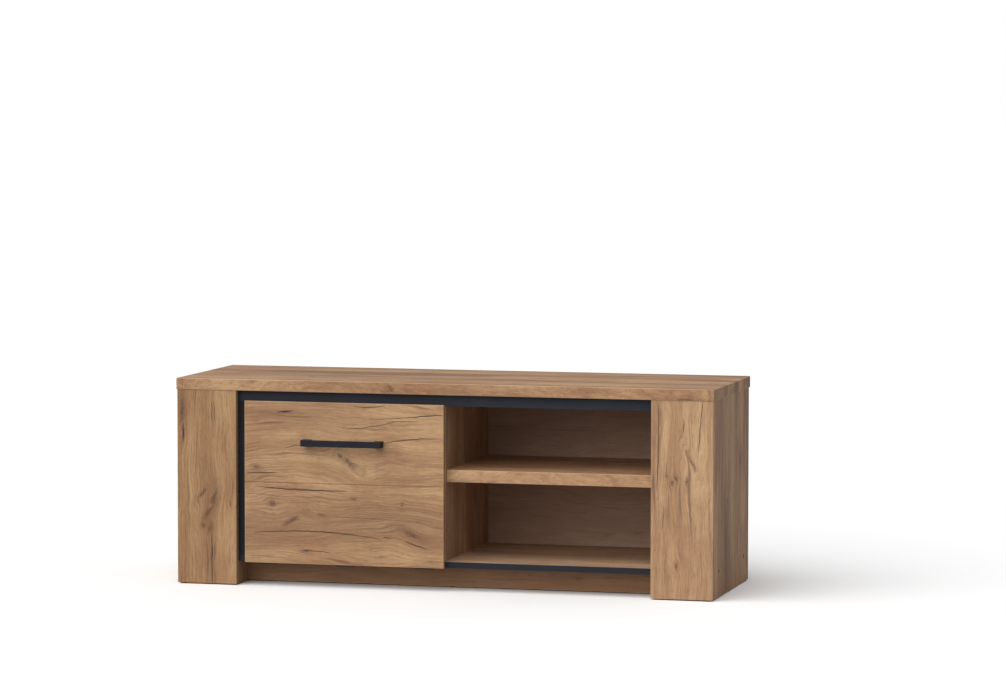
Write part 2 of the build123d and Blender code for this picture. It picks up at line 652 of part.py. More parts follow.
with BuildPart() as divider_screws:
    countersunk(DIVIDER_SCREW_POINTS, (0, 0, 1), DIVIDER_SCREW, CONFIRMAT_LENGTH)
save(divider_screws, "divider_screws")

with BuildPart() as cam_locks:
    for face, way, depth in cam_places():
        centre = (face + way * (CAM_LENGTH - CAM_SUNK) / 2, behind(depth), TOP_UNDERSIDE - CAM_DROP)
        rod([centre], CAM_RADIUS, CAM_LENGTH - CAM_SUNK, ALONG_X)
    hollows = cam_axis_points(TOP_UNDERSIDE - CAM_DROP + CAM_HOLLOW / 4)
    bore(hollows, CAM_BOLT_HOLE_RADIUS, CAM_HOLLOW, ALONG_Z)
    slot_length, slot_width = CAM_SLOT
    for face, way, depth in cam_places():
        slot = (face + way * slot_width / 2, behind(depth), TOP_UNDERSIDE - CAM_DROP)
        with Locations(slot):
            Box(slot_width, slot_length, slot_width, mode=Mode.SUBTRACT)
            Box(slot_width, slot_width, slot_length, mode=Mode.SUBTRACT)
save(cam_locks, "cam_locks")

# Each bolt is screwed into the top; its head sits in the hollow of its cam.
with BuildPart() as cam_bolts:
    rod(cam_axis_points(TOP_UNDERSIDE + DOWEL_HEAD / 2), CAM_BOLT_RADIUS, DOWEL_HEAD, ALONG_Z)
    rod(cam_axis_points(TOP_UNDERSIDE - CAM_DROP / 2), CAM_NECK_RADIUS, CAM_DROP, ALONG_Z)
    ball_radius, ball_height = CAM_BALL
    rod(cam_axis_points(TOP_UNDERSIDE - CAM_DROP + ball_height / 2), ball_radius, ball_height, ALONG_Z)
save(cam_bolts, "cam_bolts")

with BuildPart() as wood_dowels:
    for row_x, row_depths in TOP_DOWEL_ROWS:
        rod(top_dowel_points(row_x, row_depths, TOP_DOWEL_MIDDLE), DOWEL_RADIUS, DOWEL_LENGTH, ALONG_Z)
    for row_x in FOOT_DOWEL_XS:
        rod(foot_dowel_points(row_x), DOWEL_RADIUS, DOWEL_LENGTH, ALONG_Z)
    for _, hand in SIDES:
        rod(end_dowel_point(hand), DOWEL_RADIUS, DOWEL_LENGTH, ALONG_X)
        for row_x in (OUTER_CENTRE, INNER_CENTRE):
            row = pilaster_dowel_points(hand * row_x, PILASTER_DOWEL_HEIGHTS)
            rod(row, DOWEL_RADIUS, DOWEL_LENGTH, ALONG_Y)
        row = pilaster_dowel_points(hand * INNER_CENTRE, (BASE_DOWEL_HEIGHT,))
        rod(row, DOWEL_RADIUS, DOWEL_LENGTH, ALONG_Y)
save(wood_dowels, "wood_dowels")

with BuildPart() as rail_screws:
    countersunk(RAIL_SCREW_POINTS, (0, 0, 1), TRIM_SCREW, RAIL_SCREW_LENGTH)
save(rail_screws, "rail_screws")

with BuildPart() as filler_screws:
    countersunk(FILLER_SCREW_POINTS, (1, 0, 0), TRIM_SCREW, FILLER_SCREW_LENGTH)
save(filler_screws, "filler_screws")

# Thin nails with flat heads are driven through the back panels into the boards in front of them.
with BuildPart() as back_nails:
    bottom_row = [NAIL_START + NAIL_STEP * step for step in range(NAIL_ROW)]
    spots = [(hand * x, PANEL_MIDDLE) for x in bottom_row for _, hand in SIDES]
    for row_x in (SIDE_INNER + NAIL_EDGE, INNER_CENTRE):
        spots += [(hand * row_x, height) for _, hand in SIDES for height in NAIL_SIDE_HEIGHTS]
    face = BACK_FRONT + BACK_THICKNESS
    heads = [(x, behind(face + NAIL_HEAD[1] / 2), z) for x, z in spots]
    rod(heads, NAIL_HEAD[0], NAIL_HEAD[1], ALONG_Y)
    shanks = [(x, behind(face - NAIL_LENGTH / 2), z) for x, z in spots]
    rod(shanks, NAIL_RADIUS, NAIL_LENGTH, ALONG_Y)
save(back_nails, "back_nails")

with BuildPart() as floor_glides:
    with Locations(*glide_points(GLIDE_HEIGHT / 2)):
        Cylinder(GLIDE_RADIUS, GLIDE_HEIGHT)
    chamfer(floor_glides.edges().group_by(Axis.Z)[0], GLIDE_CHAMFER)
    rod(glide_points(GLIDE_PIN_MIDDLE), GLIDE_PIN_RADIUS, GLIDE_PIN, ALONG_Z)
save(floor_glides, "floor_glides")

# ---------------------------------------------------------------- door
with BuildPart() as door_panel:
    board((DOOR_LEFT, DOOR_RIGHT), (0, DOOR_THICKNESS), (DOOR_BOTTOM, DOOR_TOP))
    fillet(door_panel.edges(), ARRIS)
    # A level groove half way up makes one door look like two fronts.
    with BuildSketch(Plane.YZ.offset(DOOR_LEFT)):
        with Locations((behind(0), (DOOR_BOTTOM + DOOR_TOP) / 2)):
            Rectangle(2 * GROOVE_DEPTH, GROOVE_WIDTH)
    extrude(amount=DOOR_WIDTH, mode=Mode.SUBTRACT)
    handle_bores = [(x, behind(DOOR_THICKNESS / 2), HANDLE_MIDDLE) for x in HANDLE_SCREW_XS]
    bore(handle_bores, HANDLE_SCREW_RADIUS + FIT, DOOR_THICKNESS, ALONG_Y)
    hinge_holes = hinge_screw_points(DOOR_LEAF_SCREW)
    countersunk(hinge_holes, (0, 0, 1), SMALL_SCREW, HINGE_SCREW_LENGTH, Mode.SUBTRACT)
    strike_holes = [
        (
            DOOR_CENTRE + hand * STRIKE_SCREW_OFFSET,
            behind(DOOR_THICKNESS + STRIKE_THICKNESS),
            RAIL_UNDERSIDE - CATCH_HEIGHT / 2,
        )
        for _, hand in SIDES
    ]
    countersunk(strike_holes, (0, -1, 0), SMALL_SCREW, STRIKE_SCREW_LENGTH, Mode.SUBTRACT)
    ear_holes = [
        (
            DIVIDER_LEFT - STAY_FOOT_SCREW_REACH,
            behind(DOOR_THICKNESS + STAY_LINK),
            STAY_DOOR_HEIGHT + hand * STAY_FOOT_SCREW_OFFSET,
        )
        for _, hand in SIDES
    ]
    countersunk(ear_holes, (0, -1, 0), SMALL_SCREW, STAY_SCREW_LENGTH, Mode.SUBTRACT)
save(door_panel, "door_panel")

# The handle is one bridge-shaped casting: a flat bar with a wide foot at each end.
HANDLE_BAR_BACK = behind(-(HANDLE_PROJECTION - HANDLE_BAR))
with BuildPart() as door_handle:
    with BuildSketch(Plane.XY.offset(HANDLE_MIDDLE - HANDLE_HEIGHT / 2)):
        with Locations((DOOR_CENTRE, behind(-HANDLE_PROJECTION / 2))):
            Rectangle(HANDLE_LENGTH, HANDLE_PROJECTION)
        with Locations((DOOR_CENTRE, behind(-(HANDLE_PROJECTION - HANDLE_BAR) / 2))):
            Rectangle(HANDLE_LENGTH - 2 * HANDLE_LEG, HANDLE_PROJECTION - HANDLE_BAR, mode=Mode.SUBTRACT)
    extrude(amount=HANDLE_HEIGHT)
    upright_edges = door_handle.edges().filter_by(Axis.Z)
    inner_corners = upright_edges.filter_by_position(Axis.Y, HANDLE_BAR_BACK - FIT, HANDLE_BAR_BACK + FIT)
    fillet(inner_corners, HANDLE_INNER_ROUND)
    chamfer(door_handle.faces().sort_by(Axis.Y)[0].edges(), HANDLE_ARRIS)
    post_bores = [(x, behind(0), HANDLE_MIDDLE) for x in HANDLE_SCREW_XS]
    bore(post_bores, HANDLE_SCREW_RADIUS, 2 * HANDLE_BORE, ALONG_Y)
save(door_handle, "door_handle")

with BuildPart() as handle_screws:
    shank_middle = DOOR_THICKNESS - HANDLE_SCREW_LENGTH / 2
    shanks = [(x, behind(shank_middle), HANDLE_MIDDLE) for x in HANDLE_SCREW_XS]
    rod(shanks, HANDLE_SCREW_RADIUS, HANDLE_SCREW_LENGTH, ALONG_Y)
    heads = [(x, behind(DOOR_THICKNESS + PAN_HEAD / 2), HANDLE_MIDDLE) for x in HANDLE_SCREW_XS]
    rod(heads, PAN_HEAD_RADIUS, PAN_HEAD, ALONG_Y)
    rims = handle_screws.edges().filter_by(GeomType.CIRCLE).group_by(Axis.Y)[-1]
    fillet(rims, PAN_HEAD_ROUND)
    head_tops = [(x, behind(DOOR_THICKNESS + PAN_HEAD), HANDLE_MIDDLE) for x in HANDLE_SCREW_XS]
    cross_recess(head_tops, (0, -1, 0), PAN_HEAD_RADIUS)
save(handle_screws, "handle_screws")


# ---------------------------------------------------------------- flap hinges
# Each hinge is a plain butt hinge lying flat while the door is shut: one leaf under the bottom panel,
# the other under the door's lower edge, with the pin just below the gap between them.
def knuckle_spans(parity):
    """The stretches of the pin that the knuckles of one leaf take up, from the hinge's middle."""
    pitch = HINGE_LENGTH / KNUCKLE_COUNT
    starts = [-HINGE_LENGTH / 2 + pitch * index for index in range(KNUCKLE_COUNT) if index % 2 == parity]
    return [(start + KNUCKLE_GAP / 2, start + pitch - KNUCKLE_GAP / 2) for start in starts]


def hinge_leaf(parity, towards, far_edge, bore_radius, screw_depth):
    """One leaf of every hinge; `towards` is +1 for the leaf behind the pin, -1 for the one before it."""
    near_edge = HINGE_DEPTH + towards * LEAF_INNER_EDGE
    for x in HINGE_XS:
        board(
            (x - HINGE_LENGTH / 2, x + HINGE_LENGTH / 2),
            (near_edge, far_edge),
            (DOOR_BOTTOM - LEAF, DOOR_BOTTOM),
        )
        for start, end in knuckle_spans(parity):
            knuckle = (x + (start + end) / 2, behind(HINGE_DEPTH), HINGE_HEIGHT)
            rod([knuckle], KNUCKLE_RADIUS, end - start, ALONG_X)
            board(
                (x + start, x + end),
                (HINGE_DEPTH, near_edge + towards * NECK_OVERLAP),
                (DOOR_BOTTOM - LEAF - NECK_DROP, HINGE_HEIGHT + KNUCKLE_RADIUS),
            )
    bore([(x, behind(HINGE_DEPTH), HINGE_HEIGHT) for x in HINGE_XS], bore_radius, HINGE_LENGTH, ALONG_X)
    countersunk(hinge_screw_points(screw_depth), (0, 0, 1), SMALL_SCREW, HINGE_SCREW_LENGTH, Mode.SUBTRACT)


with BuildPart() as hinge_cabinet_leaves:
    hinge_leaf(0, 1, CABINET_LEAF_END, HINGE_PIN_RADIUS, CABINET_LEAF_SCREW)
save(hinge_cabinet_leaves, "hinge_cabinet_leaves")

with BuildPart() as hinge_door_leaves:
    hinge_leaf(1, -1, DOOR_LEAF_END, HINGE_PIN_RADIUS, DOOR_LEAF_SCREW)
save(hinge_door_leaves, "hinge_door_leaves")

with BuildPart() as hinge_pins:
    pin_length = HINGE_LENGTH - KNUCKLE_GAP
    rod([(x, behind(HINGE_DEPTH), HINGE_HEIGHT) for x in HINGE_XS], HINGE_PIN_RADIUS, pin_length, ALONG_X)
save(hinge_pins, "hinge_pins")

for body, depth in (("cabinet", CABINET_LEAF_SCREW), ("door", DOOR_LEAF_SCREW)):
    with BuildPart() as hinge_screws:
        countersunk(hinge_screw_points(depth), (0, 0, 1), SMALL_SCREW, HINGE_SCREW_LENGTH)
    save(hinge_screws, f"hinge_{body}_screws")

# ---------------------------------------------------------------- magnetic catch
CATCH_BASE = RAIL_UNDERSIDE - CATCH_HEIGHT
CATCH_MOUTH = (DOOR_CENTRE - CATCH_MOUTH_HALF, DOOR_CENTRE + CATCH_MOUTH_HALF)
POLE_HEIGHTS = (CATCH_BASE + CATCH_WALL, RAIL_UNDERSIDE - CATCH_WALL - POLE_THICKNESS)
with BuildPart() as catch_body:
    board(
        (DOOR_CENTRE - CATCH_LENGTH / 2, DOOR_CENTRE + CATCH_LENGTH / 2),
        (CATCH_FRONT, CATCH_FRONT + CATCH_DEPTH),
        (CATCH_BASE, RAIL_UNDERSIDE),
    )
    chamfer(catch_body.edges().filter_by(Axis.Y), CATCH_CHAMFER)
    board(
        CATCH_MOUTH,
        (CATCH_FRONT, CATCH_FRONT + CATCH_MOUTH_DEPTH),
        (CATCH_BASE + CATCH_WALL, RAIL_UNDERSIDE - CATCH_WALL),
        Mode.SUBTRACT,
    )
    countersunk(catch_holes, (0, 0, 1), SMALL_SCREW, CATCH_SCREW_LENGTH, Mode.SUBTRACT)
save(catch_body, "catch_body")

# A magnet between two steel poles fills the mouth of the catch.
with BuildPart() as catch_magnet:
    board(
        CATCH_MOUTH,
        (CATCH_FRONT + MAGNET_SUNK, CATCH_FRONT + CATCH_MOUTH_DEPTH),
        (POLE_HEIGHTS[0] + POLE_THICKNESS, POLE_HEIGHTS[1]),
    )
save(catch_magnet, "catch_magnet")

with BuildPart() as catch_poles:
    for low in POLE_HEIGHTS:
        board(
            CATCH_MOUTH,
            (CATCH_FRONT - POLE_PROUD, CATCH_FRONT + CATCH_MOUTH_DEPTH),
            (low, low + POLE_THICKNESS),
        )
save(catch_poles, "catch_poles")

with BuildPart() as catch_screws:
    countersunk(catch_holes, (0, 0, 1), SMALL_SCREW, CATCH_SCREW_LENGTH)
save(catch_screws, "catch_screws")

STRIKE_MIDDLE = RAIL_UNDERSIDE - CATCH_HEIGHT / 2
with BuildPart() as strike_plate:
    board(
        (DOOR_CENTRE - STRIKE_LENGTH / 2, DOOR_CENTRE + STRIKE_LENGTH / 2),
        (DOOR_THICKNESS, DOOR_THICKNESS + STRIKE_THICKNESS),
        (STRIKE_MIDDLE - STRIKE_HEIGHT / 2, STRIKE_MIDDLE + STRIKE_HEIGHT / 2),
    )
    chamfer(strike_plate.edges().filter_by(Axis.Y), CATCH_CHAMFER)
    countersunk(strike_holes, (0, -1, 0), SMALL_SCREW, STRIKE_SCREW_LENGTH, Mode.SUBTRACT)
save(strike_plate, "strike_plate")

with BuildPart() as strike_screws:
    countersunk(strike_holes, (0, -1, 0), SMALL_SCREW, STRIKE_SCREW_LENGTH)
save(strike_screws, "strike_screws")

# Soft bumpers on the divider and the filler strip meet the back of the door.
with BuildPart() as door_bumpers:
    bumper_depth = CARCASS_FRONT - BUMPER_THICKNESS / 2
    bumper_xs = (DIVIDER_CENTRE, -BAY_HALF + TRIM_WIDTH - BUMPER_RADIUS - ARRIS)
    spots = [(x, behind(bumper_depth), z) for x in bumper_xs for z in BUMPER_HEIGHTS]
    rod(spots, BUMPER_RADIUS, BUMPER_THICKNESS, ALONG_Y)
save(door_bumpers, "door_bumpers")

# ---------------------------------------------------------------- folding stay
# The stay, the door and the cabinet form a parallelogram: the upper link keeps parallel to the line from
# the hinge pin to the door bracket, and the lower link keeps the direction it has when the door is shut.
STAY_WALL = (STAY_WALL_DEPTH, STAY_WALL_HEIGHT)
STAY_DOOR = (STAY_DOOR_DEPTH, STAY_DOOR_HEIGHT)
STAY_ELBOW = (
    STAY_WALL_DEPTH + STAY_DOOR_DEPTH - HINGE_DEPTH,
    STAY_WALL_HEIGHT + STAY_DOOR_HEIGHT - HINGE_HEIGHT,
)
WALL_PLATE_X = DIVIDER_LEFT - STAY_LINK
UPPER_LINK_X = WALL_PLATE_X - STAY_GAP - STAY_LINK
LOWER_LINK_X = UPPER_LINK_X - STAY_GAP - STAY_LINK
DOOR_EAR_X = LOWER_LINK_X - STAY_GAP - STAY_LINK


def stay_point(place, x):
    """A point of the stay: place is its depth and height."""
    return (x, behind(place[0]), place[1])


def link_sketch(first, last):
    """The round-ended outline of a link between two pivots, in a plane across X."""
    start = Vector(behind(first[0]), first[1])
    end = Vector(behind(last[0]), last[1])
    span = end - start
    lean = math.degrees(math.atan2(span.Y, span.X))
    with Locations((start + end) / 2):
        SlotCenterToCenter(span.length, STAY_WIDTH, rotation=lean)


def pivot(place, x_low, x_high, head_low):
    """A pivot pin between two X, with its round head from `head_low` on."""
    rod([stay_point(place, (x_low + x_high) / 2)], STAY_PIN_RADIUS, x_high - x_low, ALONG_X)
    rod([stay_point(place, head_low + STAY_HEAD[1] / 2)], STAY_HEAD[0], STAY_HEAD[1], ALONG_X)


with BuildPart() as stay_wall_bracket:
    with BuildSketch(Plane.YZ.offset(WALL_PLATE_X)):
        with Locations((behind(STAY_WALL_DEPTH), STAY_WALL_HEIGHT)):
            SlotCenterToCenter(STAY_PLATE_SPAN, STAY_PLATE_WIDTH)
    extrude(amount=STAY_LINK)
    countersunk(plate_holes, (1, 0, 0), SMALL_SCREW, STAY_SCREW_LENGTH, Mode.SUBTRACT)
    bore([stay_point(STAY_WALL, WALL_PLATE_X + STAY_LINK / 2)], STAY_PIN_RADIUS, STAY_LINK, ALONG_X)
save(stay_wall_bracket, "stay_wall_bracket")

with BuildPart() as stay_wall_screws:
    countersunk(plate_holes, (1, 0, 0), SMALL_SCREW, STAY_SCREW_LENGTH)
save(stay_wall_screws, "stay_wall_screws")

with BuildPart() as stay_wall_pivot:
    low = UPPER_LINK_X - PIVOT_END_PLAY
    pivot(STAY_WALL, low, DIVIDER_LEFT, low - STAY_HEAD[1])
save(stay_wall_pivot, "stay_wall_pivot")

with BuildPart() as stay_upper_link:
    with BuildSketch(Plane.YZ.offset(UPPER_LINK_X)):
        link_sketch(STAY_WALL, STAY_ELBOW)
    extrude(amount=STAY_LINK)
    ends = [stay_point(place, UPPER_LINK_X + STAY_LINK / 2) for place in (STAY_WALL, STAY_ELBOW)]
    bore(ends, STAY_PIN_RADIUS, STAY_LINK, ALONG_X)
save(stay_upper_link, "stay_upper_link")

with BuildPart() as stay_elbow_pivot:
    low = LOWER_LINK_X - ELBOW_END_PLAY
    pivot(STAY_ELBOW, low, UPPER_LINK_X + STAY_LINK, low - STAY_HEAD[1])
save(stay_elbow_pivot, "stay_elbow_pivot")

with BuildPart() as stay_lower_link:
    with BuildSketch(Plane.YZ.offset(LOWER_LINK_X)):
        link_sketch(STAY_DOOR, STAY_ELBOW)
    extrude(amount=STAY_LINK)
    middle = LOWER_LINK_X + STAY_LINK / 2
    bore([stay_point(STAY_DOOR, middle)], STAY_PIN_RADIUS, STAY_LINK, ALONG_X)
    bore([stay_point(STAY_ELBOW, middle)], STAY_PIN_RADIUS + ELBOW_CLEARANCE, STAY_LINK, ALONG_X)
save(stay_lower_link, "stay_lower_link")

with BuildPart() as stay_door_bracket:
    board(
        (DIVIDER_LEFT - STAY_FOOT_REACH, DOOR_EAR_X + STAY_LINK),
        (DOOR_THICKNESS, DOOR_THICKNESS + STAY_LINK),
        (STAY_DOOR_HEIGHT - STAY_FOOT_HALF, STAY_DOOR_HEIGHT + STAY_FOOT_HALF),
    )
    with BuildSketch(Plane.YZ.offset(DOOR_EAR_X)):
        with Locations((behind(STAY_DOOR_DEPTH), STAY_DOOR_HEIGHT)):
            Circle(STAY_PLATE_WIDTH / 2)
        with Locations((behind((DOOR_THICKNESS + STAY_DOOR_DEPTH) / 2), STAY_DOOR_HEIGHT)):
            Rectangle(STAY_DOOR_DEPTH - DOOR_THICKNESS, STAY_PLATE_WIDTH)
    extrude(amount=STAY_LINK)
    countersunk(ear_holes, (0, -1, 0), SMALL_SCREW, STAY_SCREW_LENGTH, Mode.SUBTRACT)
    bore([stay_point(STAY_DOOR, DOOR_EAR_X + STAY_LINK / 2)], STAY_PIN_RADIUS, STAY_LINK, ALONG_X)
save(stay_door_bracket, "stay_door_bracket")

with BuildPart() as stay_door_screws:
    countersunk(ear_holes, (0, -1, 0), SMALL_SCREW, STAY_SCREW_LENGTH)
save(stay_door_screws, "stay_door_screws")

with BuildPart() as stay_door_pivot:
    high = LOWER_LINK_X + STAY_LINK + PIVOT_END_PLAY
    pivot(STAY_DOOR, DOOR_EAR_X, high, high)
save(stay_door_pivot, "stay_door_pivot")
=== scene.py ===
import math
import random

import bpy
from mathutils import Matrix, Vector


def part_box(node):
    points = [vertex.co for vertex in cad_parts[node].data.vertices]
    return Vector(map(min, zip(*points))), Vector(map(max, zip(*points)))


# The looks of a low TV stand in oak-faced board with black trim. Metres, in the CAD part's own frame:
# +X to the right, +Y towards the wall, +Z up, the floor at zero.

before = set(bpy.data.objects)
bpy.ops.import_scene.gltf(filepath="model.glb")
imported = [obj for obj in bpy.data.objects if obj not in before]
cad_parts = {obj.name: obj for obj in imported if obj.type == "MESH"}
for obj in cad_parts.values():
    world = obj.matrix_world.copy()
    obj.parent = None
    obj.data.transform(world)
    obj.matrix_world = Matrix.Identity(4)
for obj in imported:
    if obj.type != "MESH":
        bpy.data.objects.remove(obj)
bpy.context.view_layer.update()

# Which axes run along, across and through the grain of a board.
GRAIN_LEVEL = ("X", "Z", "Y")
GRAIN_UPRIGHT = ("Z", "X", "Y")
GRAIN_UPRIGHT_SIDE = ("Z", "Y", "X")
GRAIN_LEVEL_FLAT = ("X", "Y", "Z")


# ---------------------------------------------------------------- writing node trees as formulas
class Field:
    """One output inside a material's node tree. Fields can be added, multiplied and so on."""

    def __init__(self, tree, socket):
        self.tree = tree
        self.socket = socket

    def math(self, operation, *others):
        node = self.tree.nodes.new("ShaderNodeMath")
        node.operation = operation
        for place, value in zip(node.inputs, (self, *others)):
            feed(self.tree, place, value)
        return Field(self.tree, node.outputs[0])

    def __add__(self, other):
        return self.math("ADD", other)

    def __sub__(self, other):
        return self.math("SUBTRACT", other)

    def __mul__(self, other):
        return self.math("MULTIPLY", other)

    def __truediv__(self, other):
        return self.math("DIVIDE", other)

    def minus_from(self, number):
        """The number less this field."""
        return self * -1.0 + number

    def size(self):
        return self.math("ABSOLUTE")

    def ramp(self, start, end):
        """0 below start and 1 above end with a soft rise between; start may be the larger one."""
        node = self.tree.nodes.new("ShaderNodeMapRange")
        node.interpolation_type = "SMOOTHSTEP"
        feed(self.tree, node.inputs["Value"], self)
        node.inputs["From Min"].default_value = start
        node.inputs["From Max"].default_value = end
        return Field(self.tree, node.outputs["Result"])


def feed(tree, place, value):
    """Put a field, or a plain number or colour, into an input."""
    if isinstance(value, Field):
        tree.links.new(value.socket, place)
    else:
        place.default_value = value


def vector(tree, x, y, z):
    node = tree.nodes.new("ShaderNodeCombineXYZ")
    for place, value in zip(node.inputs, (x, y, z)):
        feed(tree, place, value)
    return Field(tree, node.outputs[0])


def noise(tree, x, y, z, detail=2.0, roughness=0.5):
    """Smooth noise, mostly between 0.2 and 0.8, at a point given by three fields."""
    node = tree.nodes.new("ShaderNodeTexNoise")
    node.inputs["Scale"].default_value = 1.0
    node.inputs["Detail"].default_value = detail
    node.inputs["Roughness"].default_value = roughness
    feed(tree, node.inputs["Vector"], vector(tree, x, y, z))
    return Field(tree, node.outputs["Fac"])


def speckle(tree, spot, waves, detail=2.0, roughness=0.5):
    """Noise all over a piece, with so many waves per metre along X, Y and Z."""
    stretched = [spot[axis] * wave for axis, wave in zip("XYZ", waves)]
    return noise(tree, *stretched, detail=detail, roughness=roughness)


def mix(tree, amount, first, second):
    """A colour between two colours."""
    node = tree.nodes.new("ShaderNodeMix")
    node.data_type = "RGBA"
    feed(tree, node.inputs[0], amount)
    feed(tree, node.inputs[6], first)
    feed(tree, node.inputs[7], second)
    return Field(tree, node.outputs[2])


def graded(tree, colour, shade, saturation=1.0):
    """A colour with its brightness and its saturation each multiplied by a number."""
    node = tree.nodes.new("ShaderNodeHueSaturation")
    node.inputs["Value"].default_value = shade
    node.inputs["Saturation"].default_value = saturation
    feed(tree, node.inputs["Color"], colour)
    return Field(tree, node.outputs["Color"])


def places(tree):
    """The X, Y and Z of a point on the piece, in metres, which stay with the piece when it moves."""
    coordinates = tree.nodes.new("ShaderNodeTexCoord")
    split = tree.nodes.new("ShaderNodeSeparateXYZ")
    tree.links.new(coordinates.outputs["Object"], split.inputs[0])
    return {axis: Field(tree, split.outputs[axis]) for axis in "XYZ"}


def surface(name):
    """A new material with only a Principled shader: returns it, its tree and the shader."""
    material = bpy.data.materials.new(name)
    material.use_nodes = True
    return material, material.node_tree, material.node_tree.nodes["Principled BSDF"]


def bump(tree, shader, height, distance):
    """Raise the surface by a height field, up to a distance in metres."""
    node = tree.nodes.new("ShaderNodeBump")
    node.inputs["Distance"].default_value = distance
    feed(tree, node.inputs["Height"], height)
    tree.links.new(node.outputs["Normal"], shader.inputs["Normal"])


def tone(*channels):
    """A screen colour, its red, green and blue between 11 and 255, turned into light by the sRGB curve."""
    shares = [channel / 255 for channel in channels]
    return tuple(((share + 0.055) / 1.055) ** 2.4 for share in shares) + (1.0,)


# ---------------------------------------------------------------- oak decor
OAK_LIGHT = tone(197, 160, 120)
OAK_MID = tone(171, 132, 96)
OAK_WARM = tone(158, 114, 85)
OAK_STREAK = tone(122, 86, 64)
OAK_KNOT = tone(88, 63, 49)
OAK_CRACK = tone(46, 37, 34)
# Painted highlight along the rounded edges of each board: its colour, the width it fades over and its
# strength.
OAK_ARRIS_HIGHLIGHT = tone(212, 176, 138)
ARRIS_HIGHLIGHT_WIDTH = 0.0012
ARRIS_HIGHLIGHT_STRENGTH = 0.8
SEED_SHIFT = 7.31
GRAIN_DRIFT = 0.16
GRAIN_RIPPLE = 0.016

# Roughness of the smooth parts, and what the pores and the streaks add to it.
OAK_ROUGHNESS = 0.44
PORE_ROUGHNESS = 0.14
STREAK_ROUGHNESS = 0.14

# Depth of the pressed relief in metres, and the shares of it that the three layers take.
OAK_RELIEF = 0.0002
PORE_SHARE = 0.5
FIBRE_SHARE = 0.35
CRACK_SHARE = 1.2

# Growth rings: radians per metre across the flow, and how far the bands and the mottle push them.
RING_TURNS = 760.0
RING_BAND_PUSH = 16.0
RING_MOTTLE_PUSH = 3.0

# Knots: waves per metre of their torn rim along and across, how torn it is, how far out the grain parts
# and how much, and between which distances, 1 being the rim, the halo and the heart fade in.
TEAR_WAVES = (150.0, 320.0)
KNOT_TEAR = 1.9
PARTING_FADE = -0.16
PARTING = 0.8
HALO = (3.2, 0.6)
HEART = (1.3, 0.2)

# Cracks: how far they wander off their line in metres, in how many waves per metre, and how dark they are.
CRACK_WANDER = 0.006
WANDER_WAVES = 30.0
CRACK_STRENGTH = 0.88
CRACK_LEAST_HALF_WIDTH = 0.00001

# Ranges that the scattered knots and cracks are drawn from. Sizes in metres, slopes as a share of the length.
KNOT_HALF_ACROSS = (0.002, 0.006)
KNOT_STRETCH = (1.6, 3.5)
KNOT_LEAN = (-0.1, 0.1)
CRACK_SEED = 1000
CRACK_OVERHANG = 0.05
CRACK_LENGTH = (0.06, 0.24)
CRACK_SLOPE = (-0.05, 0.05)
CRACK_WIDTH = (0.0004, 0.0009)
CRACK_BOW = (-0.004, 0.004)

# Noises of the decor. Those in FLOWING follow the bent grain, those in STANDING the straight board. Waves
# per metre along, across and through the board; which of the first two the board's seed shifts, and which
# way; then detail and roughness.
FLOWING = {
    "bands": (1.8, 24.0, 6.0, 1, 0, 4.0, 0.6),
    "broad": (0.8, 9.0, 4.0, -1, 0, 3.0, 0.6),
    "streaks": (6.0, 170.0, 40.0, -1, 0, 5.0, 0.7),
    "lines": (3.4, 85.0, 20.0, 1, 0, 3.0, 0.6),
    "fibres": (20.0, 520.0, 90.0, 0, 1, 3.0, 0.75),
    "pores": (55.0, 1500.0, 300.0, 0, 1, 2.0, 0.6),
}
STANDING = {
    "drift": (1.9, 4.5, 3.0, 1, 0, 2.0, 0.5),
    "ripple": (8.0, 17.0, 9.0, 1, 0, 3.0, 0.5),
    "blotch": (5.0, 10.0, 4.0, 1, 0, 4.0, 0.65),
    "mottle": (38.0, 75.0, 30.0, 1, 0, 3.0, 0.6),
    "ring_patch": (2.6, 6.5, 4.0, -1, 0, 1.0, 0.5),
    "flecks": (230.0, 420.0, 60.0, 0, 0, 3.0, 0.7),
}

# Where the bands of the ground colour, the broad dark bands and the patches of rings begin and are full.
BAND_RAMP = (0.34, 0.64)
BROAD_RAMP = (0.48, 0.64)
RING_PATCH_RAMP = (0.5, 0.64)

# Coats laid over the ground in this order: noise, where it begins and is full, strength, colour.
COATS = (
    ("blotch", 0.46, 0.70, 0.70, OAK_WARM),
    ("streaks", 0.45, 0.72, 0.50, OAK_STREAK),
    ("fibres", 0.46, 0.72, 0.42, OAK_STREAK),
    ("fibres", 0.50, 0.28, 0.35, OAK_LIGHT),
    ("mottle", 0.52, 0.75, 0.35, OAK_WARM),
    ("rings", 0.55, 0.98, 0.40, OAK_STREAK),
    ("lines", 0.60, 0.72, 0.50, OAK_KNOT),
    ("pores", 0.56, 0.72, 0.45, OAK_KNOT),
)


def second_smallest(a, b, c):
    """The middle one of three fields."""
    return a.math("MINIMUM", b).math("MAXIMUM", a.math("MAXIMUM", b).math("MINIMUM", c))


def arris_highlight(spot, node_name):
    """Where the painted highlight goes: 1 along the sharp edges of a board, fading out within the width of
    its rounded edge.
    """
    low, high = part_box(node_name)
    reach = []
    for axis in "XYZ":
        here = "XYZ".index(axis)
        middle = (low[here] + high[here]) / 2
        half = (high[here] - low[here]) / 2
        reach.append((spot[axis] - middle).size().minus_from(half))
    return second_smallest(*reach).ramp(ARRIS_HIGHLIGHT_WIDTH, ARRIS_HIGHLIGHT_WIDTH * 0.35)


def knot_shape(along, across, knot, ragged):
    """Distance from a knot's middle, 1 at its rim. A knot is its place, its half sizes and its lean."""
    a, c, half_along, half_across, lean = knot
    from_middle = along - a
    u = from_middle / half_along
    v = (across - c - from_middle * lean) / half_across
    return (u * u + v * v).math("SQRT") + ragged


